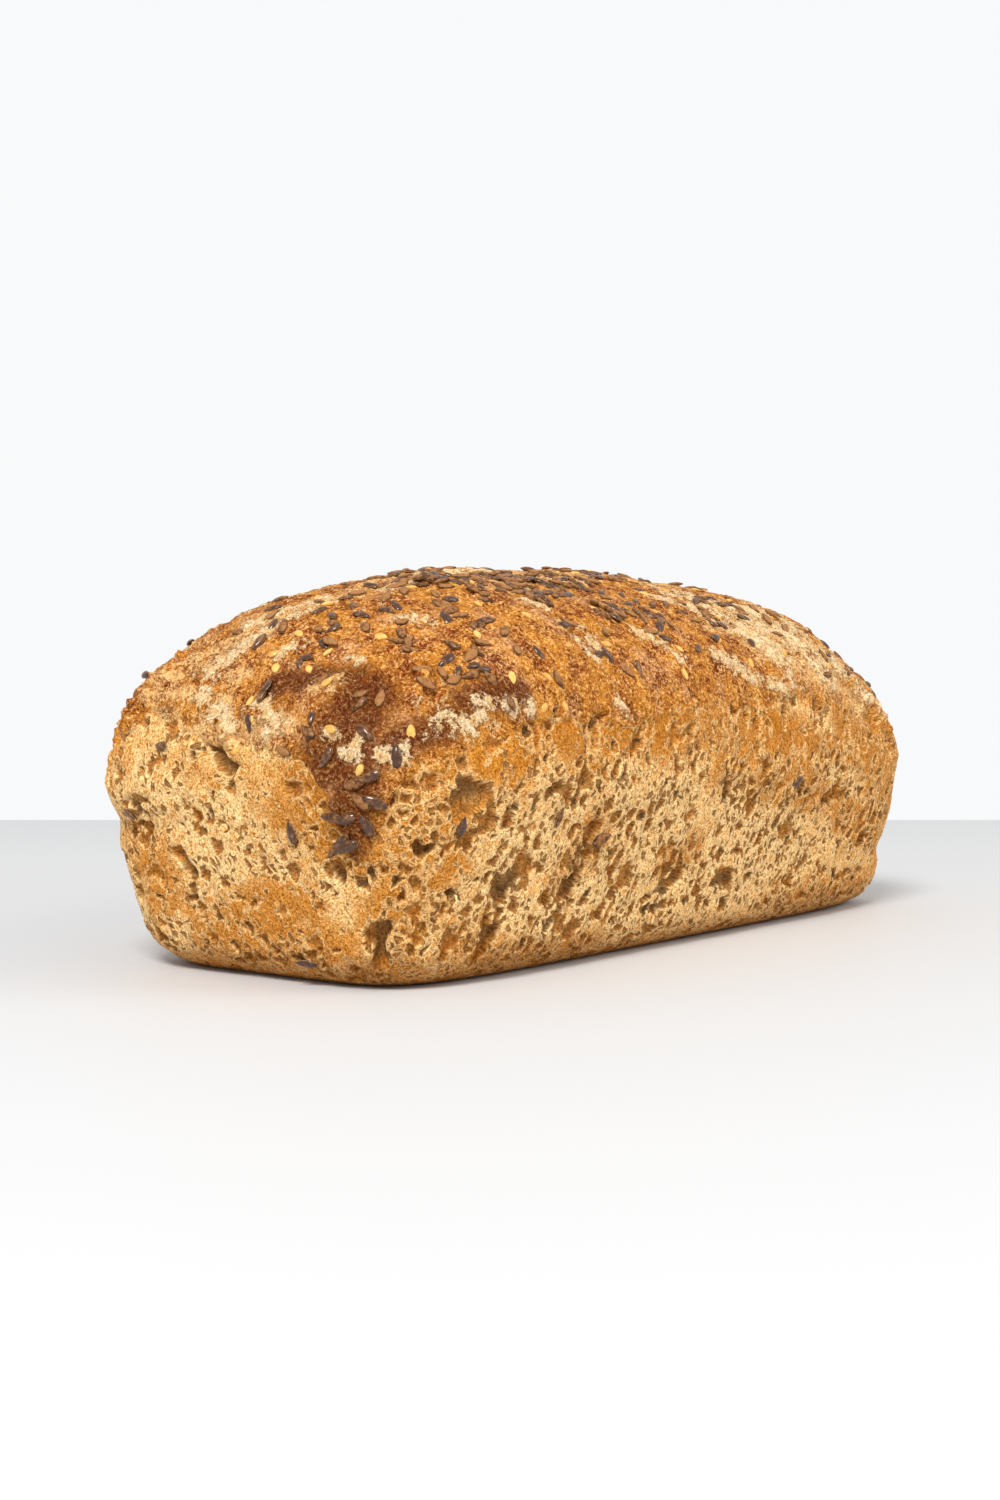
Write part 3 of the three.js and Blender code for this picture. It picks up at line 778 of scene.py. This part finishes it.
seeds = {
    # in mm; then how much one end narrows, and how blunt the edge is
    "flax": {"long": 4.4, "wide": 2.1, "thick": 1.1, "tip": 0.42, "rim": 0.45},
    "sesame": {"long": 3.1, "wide": 1.9, "thick": 1.0, "tip": 0.30, "rim": 0.1},
    "draws": {"flax": 7, "sesame": 19},  # fixed seeds for the random numbers
    "segments": 10,
    "rings": 6,
    "spacing": {"flax": 1.7, "sesame": 4.5},
    "density": {"flax": 0.26, "sesame": 0.035},  # at most, for each square mm
    "tilt": 13.0,  # degrees out of the surface
    "pile": 0.5,  # how much a seed that lies on another is lifted
    "sink": {"flax": -0.2, "sesame": 0.05},  # in thicknesses, like the lifts; below 0 stands proud
    "heapLift": 0.3,
    "heapSize": 1.16,
    "heapTone": 0.6,  # below 1 is darker than the rest
    "sizes": (0.84, 1.14),  # the least and the most
    "near": 0.42,  # seeds closer than this share of their length lie on each other
    "fall": 6.0,  # how far above the bare loaf a seed starts to fall onto the crust
    "shine": 0.12,
    "rough": 0.35,
    "gloss": 0.9,  # of the dark ones
    "glossRough": 0.12,
    "bump": (0.5, 0.1),  # strength, and depth in mm
    "mottle": (0.9, 2.0, 0.55),  # size in mm, detail and roughness of the shell's noise
    "sesameShare": 0.3,
    "carrierCell": 2.0,  # of the bare loaf that seeds are sown on
    "crest": [  # how thick flax lies, and where
        (1.0, [
            ((-62, -12, 80), (-44, -26, 77), 9.0),
            ((-46, -14, 82), (-22, -20, 81), 6.5),
            ((-91, -13, 71), (-85, -17, 73), 4.0),
            ((-72, -29, 73), (-64, -34, 71), 4.5),
            ((-98, -12, 66), (-95, -16, 68), 2.5),
            ((-88, -28, 70), (-84, -33, 68), 3.5),
            ((-90, -38, 61), (-82, -40, 62), 4.5),
            ((-100, -30, 57), (-96, -34, 58), 3.0),
            ((-22, -33, 74), (-6, -36, 72), 6.0),
            ((52, 14, 79), (34, 24, 78), 9.0),
        ]),
        (0.4, [
            ((-56, -6, 83), (4, -16, 83), 14.0),
            ((-70, -22, 77), (-44, -26, 77), 8.0),
            ((0, -26, 79), (20, -32, 76), 8.0),
        ]),
        (0.18, [
            ((-84, -2, 77), (66, 0, 80), 20.0),
            ((20, -28, 77), (70, -30, 70), 11.0),
        ]),
    ],
    "sparse": 0.055,  # the least of it anywhere above the rim line
    "heap": [  # seeds laid one by one: place, and turn in degrees
        ((-106.5, -33.2, 41.1), 130), ((-104.9, -35.7, 42.4), 150), ((-105.8, -34.3, 38.2), 75),
        ((-104.5, -36.6, 38.0), 95), ((-104.7, -34.9, 33.4), 50), ((-107.0, -28.2, 34.9), 100),
        ((-106.2, -31.1, 34.6), 120), ((-105.6, -29.2, 29.9), 140), ((-105.7, -27.5, 28.5), 145),
        ((-105.2, -30.7, 29.4), 125), ((-107.5, -27.2, 46.0), 160), ((-104.8, -7.6, 58.1), 5),
        ((-103.7, -7.7, 60.0), 20), ((-106.7, 28.1, 33.3), 60), ((-107.6, 17.0, 47.0), 85),
        ((-106.9, -17.5, 31.3), 15), ((-99.9, -14.9, 5.0), 80), ((-89.5, -44.5, 33.0), 70),
        ((-62.0, -48.6, 33.0), 75), ((-46.0, -47.2, 27.5), 20), ((33.0, -47.0, 36.0), 60),
    ],
    # the dark and the light ones, then the painted shade on the flank and the painted highlight along the
    # edge of each
    "flaxColours": [colour(72, 41, 22), colour(162, 113, 68), colour(44, 26, 14), colour(188, 140, 92)],
    "sesameColours": [
        colour(222, 160, 70), colour(236, 192, 112), colour(196, 126, 44), colour(240, 200, 130),
    ],
}


def seedTree():  # stands a seed on every point of a mesh
    names = ("Length", "Width", "Thickness", "Tip", "Rim")
    takes = {"Geometry": "Geometry", "Finish": "Material"}
    for name in names:
        takes[name] = "Float"
    tree, pen, keys = newTree("laySeeds", "GeometryNodeTree", takes, {"Geometry": "Geometry"})
    given = pen.node("NodeGroupInput")
    length, width, thick, tip, rim = (Value(pen, given.outputs[name]) for name in names)
    link = tree.links.new

    ball = pen.node("GeometryNodeMeshUVSphere")
    ball.inputs["Segments"].default_value = seeds["segments"]
    ball.inputs["Rings"].default_value = seeds["rings"]
    ball.inputs["Radius"].default_value = 1.0
    kept = pen.node("GeometryNodeStoreNamedAttribute", data_type="FLOAT_VECTOR")
    kept.inputs["Name"].default_value = "unit"
    spot = Value(pen, pen.node("GeometryNodeInputPosition").outputs[0])
    link(ball.outputs["Mesh"], kept.inputs["Geometry"])
    pen.join(spot, kept.inputs["Value"])
    x, y, z = pen.split(spot)
    narrow = 1.0 - pen.ramp(x, -0.3, 1.1) * tip
    flat = pen.maths("POWER", pen.maths("ABSOLUTE", z), rim)
    halves = (x * length, y * narrow * width, z * flat * thick)
    shaped = pen.call("ShaderNodeCombineXYZ", {axis: half * 0.5 * mm for axis, half in enumerate(halves)})
    drop = pen.node("GeometryNodeSetPosition")
    link(kept.outputs["Geometry"], drop.inputs["Geometry"])
    pen.join(shaped, drop.inputs["Position"])

    out, turn = pen.field("out", "FLOAT_VECTOR"), pen.field("turn", "FLOAT_VECTOR")
    turned = pen.call("FunctionNodeAlignRotationToVector", {"Vector": out}, axis="Z")
    spin = pen.call("FunctionNodeEulerToRotation", {0: turn})
    turned = pen.call("FunctionNodeRotateRotation", {0: turned, 1: spin}, rotation_space="LOCAL")
    lay = pen.node("GeometryNodeInstanceOnPoints")
    link(given.outputs["Geometry"], lay.inputs["Points"])
    link(drop.outputs["Geometry"], lay.inputs["Instance"])
    pen.join(turned, lay.inputs["Rotation"])
    pen.join(pen.field("size"), lay.inputs["Scale"])
    real = pen.node("GeometryNodeRealizeInstances")
    paint = pen.node("GeometryNodeSetMaterial")
    link(lay.outputs["Instances"], real.inputs["Geometry"])
    link(real.outputs["Geometry"], paint.inputs["Geometry"])
    link(given.outputs["Finish"], paint.inputs["Material"])
    link(paint.outputs["Geometry"], pen.node("NodeGroupOutput").inputs[0])
    return tree, keys


def spreadTree():  # points scattered over a surface, thick where its "sown" field is 1
    takes = {"Geometry": "Geometry", "Spacing": "Float", "Density": "Float", "Seed": "Int"}
    tree, pen, keys = newTree("sowSeeds", "GeometryNodeTree", takes, {"Geometry": "Geometry"})
    given = pen.node("NodeGroupInput")
    link = tree.links.new
    spread = pen.node("GeometryNodeDistributePointsOnFaces", distribute_method="POISSON")
    link(given.outputs["Geometry"], spread.inputs["Mesh"])
    link(given.outputs["Spacing"], spread.inputs["Distance Min"])
    link(given.outputs["Density"], spread.inputs["Density Max"])
    link(given.outputs["Seed"], spread.inputs["Seed"])
    pen.join(pen.field("sown"), spread.inputs["Density Factor"])
    kept = pen.node("GeometryNodeStoreNamedAttribute", data_type="FLOAT_VECTOR")
    kept.inputs["Name"].default_value = "out"
    link(spread.outputs["Points"], kept.inputs["Geometry"])
    link(spread.outputs["Normal"], kept.inputs["Value"])
    points = pen.node("GeometryNodePointsToVertices")
    link(kept.outputs["Geometry"], points.inputs["Points"])
    link(points.outputs["Mesh"], pen.node("NodeGroupOutput").inputs[0])
    return tree, keys


def seedFinish(name, tones):
    finish = bpy.data.materials.new(name)
    finish.use_nodes = True
    pen = Pen(finish.node_tree)
    shader = finish.node_tree.nodes["Principled BSDF"]
    chance = Value(pen, pen.node("ShaderNodeAttribute", attribute_name="chance").outputs["Fac"])
    unit = Value(pen, pen.node("ShaderNodeAttribute", attribute_name="unit").outputs["Vector"])
    spot = Value(pen, pen.node("ShaderNodeTexCoord").outputs["Object"])
    height = pen.maths("ABSOLUTE", pen.split(unit)[2])  # 0 at the rim, 1 in the middle
    size, *texture = seeds["mottle"]
    mottle = pen.noise(spot, size * mm, *texture)
    shell = pen.blend(pen.ramp(chance + mottle, 0.0, 1.0), tones[0], tones[1])
    # painted shade: darker towards the flanks
    shell = pen.blend(pen.ramp(height + mottle * 0.3, 0.55, 0.25), shell, tones[2])
    # painted highlight: a pale line along the edge
    shell = pen.blend(pen.ramp(height, 0.2, 0.05) * 0.8, shell, tones[3])
    pen.join(shell, shader.inputs["Base Color"])
    pen.join(pen.ramp(mottle, -0.5, 0.5, 0.2) + seeds["rough"], shader.inputs["Roughness"])
    shader.inputs["Specular IOR Level"].default_value = seeds["shine"]
    pen.join(pen.ramp(chance, 0.55, 0.2, seeds["gloss"]), shader.inputs["Coat Weight"])
    shader.inputs["Coat Roughness"].default_value = seeds["glossRough"]
    bump = pen.node("ShaderNodeBump")
    strength, depth = seeds["bump"]
    bump.inputs["Strength"].default_value = strength
    bump.inputs["Distance"].default_value = depth * mm
    pen.join(mottle, bump.inputs["Height"])
    finish.node_tree.links.new(bump.outputs["Normal"], shader.inputs["Normal"])
    return finish


def sowing(base, rim, kind):  # how thick the seeds lie, 0 to 1
    overRim = smoothstep(-1.0, 3.0, rim)
    if kind == "sesame":
        return seeds["sesameShare"] * overRim
    thick = [share * markField(base, listed) ** 1.5 for share, listed in seeds["crest"]]
    return np.maximum(np.max(thick, axis=0), seeds["sparse"]) * overRim


def sownSpots(kind, sheet, draw):  # (place, way out, turn) of the seeds that fell by chance
    spread = linked(kind + "Points", sheet)
    sower = spread.modifiers.new("sow", "NODES")
    sower.node_group, keys = sowRules
    sower[keys["Spacing"]] = seeds["spacing"][kind] * mm
    sower[keys["Density"]] = seeds["density"][kind] / mm ** 2
    sower[keys["Seed"]] = seeds["draws"][kind]
    points = settled(spread)
    rows = zip(readRows(points.vertices, "co"), readRows(points.attributes["out"].data, "vector"))
    spots = [(Vector(at), Vector(out)) for at, out in rows]
    order = draw.permutation(len(spots))
    turns = draw.uniform(0, 2 * math.pi, len(spots))
    return [(*spots[number], turns[number]) for number in order]


def heapedSpots(carrierTop):  # the same for the seeds laid one by one from the list
    laid = []
    for at, turn in seeds["heap"]:
        spot, out, _, _ = carrierTop.find_nearest((Vector(at) + Vector(toFrame)) * mm)
        laid.append((spot, out, math.radians(turn)))
    return laid


def laySeeds(kind, laid, heaped, crustTop, draw):
    places, outs, spins, sizes, chances = [], [], [], [], []
    grain = seeds[kind]
    fall = seeds["fall"] * mm
    for number, (spot, out, turn) in enumerate(laid):
        byHand = number < heaped
        hit = crustTop.ray_cast(spot + out * fall, -out, 2 * fall)[0] or spot
        under = sum(1 for other in places if (other - hit).length < seeds["near"] * grain["long"] * mm)
        lift = min(under, 3) * seeds["pile"] - seeds["sink"][kind] + byHand * seeds["heapLift"]
        hit = hit + out * lift * grain["thick"] * mm
        lean = np.radians(draw.uniform(-seeds["tilt"], seeds["tilt"], 2))
        places.append(hit)
        outs.append(out)
        spins.append((lean[0], lean[1], turn))
        sizes.append(draw.uniform(*seeds["sizes"]) * (seeds["heapSize"] if byHand else 1.0))
        chances.append(draw.random() * (seeds["heapTone"] if byHand else 1.0))
    mesh = bpy.data.meshes.new(kind + "Seeds")
    mesh.from_pydata([tuple(p) for p in places], [], [])
    for name, values in (("out", outs), ("turn", spins), ("size", sizes), ("chance", chances)):
        keepField(mesh, name, np.array(values))
    piece = linked(kind + "Carrier", mesh)
    layer = piece.modifiers.new("lay", "NODES")
    layer.node_group, keys = layRules
    inputs = {"Length": "long", "Width": "wide", "Thickness": "thick", "Tip": "tip", "Rim": "rim"}
    for name, value in inputs.items():
        layer[keys[name]] = grain[value]
    layer[keys["Finish"]] = seedFinish(kind + "Shell", seeds[kind + "Colours"])
    made = settled(piece)
    made.shade_smooth()
    print(kind + ":", len(places), "seeds,", 2 * len(made.polygons), "triangles at most")
    return linked(kind + "Seeds", made)


def treeOf(mesh):
    points = readRows(mesh.vertices, "co").tolist()
    return BVHTree.FromPolygons(points, [tuple(face.vertices) for face in mesh.polygons])


carrier, carrierBase, carrierShape = bareLoaf("carrier", seeds["carrierCell"])
movePoints(carrier, (carrierShape + toFrame) * mm)
crustTop = treeOf(crustPiece.data)
heap = heapedSpots(treeOf(carrier))
sowRules, layRules = spreadTree(), seedTree()
seedPieces = []
for kind, byHand in (("flax", heap), ("sesame", [])):
    sheet = carrier.copy()
    keepField(sheet, "sown", sowing(carrierBase, rimField(carrierBase), kind))
    draw = np.random.default_rng(seeds["draws"][kind])
    laid = byHand + sownSpots(kind, sheet, draw)
    seedPieces.append(laySeeds(kind, laid, len(byHand), crustTop, draw))


# Floor, lights and camera

studio = {
    "lens": 50.0,
    "sensor": 24.0,
    "eye": (-402.1, -294.0, 64.9),
    "heading": 52.57,  # from +Y towards +X, in degrees
    "tilt": 2.51,
    "floor": [(-2000, -2000), (-2000, 2000), (837, 2000), (837, -2000)],  # ahead of and beside the eye
    "floorTint": (0.665, 0.675, 0.69, 1),
    "floorRough": 0.6,
    "lights": {  # place in metres, width, watts, tint
        "keyLight": ((-1.1, -0.5, 1.3), 0.6, 26, (1.0, 0.985, 0.96)),
        "fillLight": ((0.6, -1.3, 0.9), 1.0, 8, (1.0, 0.95, 0.86)),
    },
    "skyTint": (0.985, 0.99, 1.0, 1),
    "sky": 0.62,  # strength of the light from all round
    "backdrop": 0.96,  # strength where the camera sees it
    "aim": (0, 0, 0.04),  # what the lights point at, in metres
}


def makeFloor():
    mesh = bpy.data.meshes.new("floor")
    turn = math.radians(studio["heading"])
    ahead, side = Vector((math.sin(turn), math.cos(turn), 0)), Vector((math.cos(turn), -math.sin(turn), 0))
    eye = Vector((*studio["eye"][:2], 0)) * mm
    corners = [eye + ahead * far * mm + side * wide * mm for far, wide in studio["floor"]]
    mesh.from_pydata([tuple(corner) for corner in corners], [], [(0, 1, 2, 3)])
    floor = linked("floor", mesh)
    finish = bpy.data.materials.new("paleFloor")
    finish.use_nodes = True
    shader = finish.node_tree.nodes["Principled BSDF"]
    shader.inputs["Base Color"].default_value = studio["floorTint"]
    shader.inputs["Roughness"].default_value = studio["floorRough"]
    mesh.materials.append(finish)


def makeLight(name, place, size, power, tint):
    lamp = bpy.data.lights.new(name, "AREA")
    lamp.shape = "DISK"
    lamp.size, lamp.energy, lamp.color = size, power, tint
    light = linked(name, lamp)
    light.location = place
    ahead = Vector(studio["aim"]) - Vector(place)
    light.rotation_euler = ahead.to_track_quat("-Z", "Y").to_euler()


def makeCamera():
    lens = bpy.data.cameras.new("camera")
    lens.lens, lens.sensor_width, lens.sensor_fit = studio["lens"], studio["sensor"], "HORIZONTAL"
    lens.clip_start = 0.01
    camera = linked("camera", lens)
    camera.location = (Vector(studio["eye"]) + Vector(toFrame)) * mm
    camera.rotation_euler = (math.radians(90 - studio["tilt"]), 0, -math.radians(studio["heading"]))
    scene.camera = camera


def makeSky():
    world = bpy.data.worlds.new("sky")
    world.use_nodes = True
    pen = Pen(world.node_tree)
    seen = Value(pen, pen.node("ShaderNodeLightPath").outputs["Is Camera Ray"])
    backdrop = world.node_tree.nodes["Background"]
    backdrop.inputs[0].default_value = studio["skyTint"]
    pen.join(pen.mix(seen, studio["sky"], studio["backdrop"]), backdrop.inputs[1])
    scene.world = world
    scene.view_settings.view_transform = "Standard"


makeFloor()
makeCamera()
for name, values in studio["lights"].items():
    makeLight(name, *values)
makeSky()
print("studio: ready")

for piece in [crustPiece] + seedPieces:
    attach(piece, "root")
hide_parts("loaf")
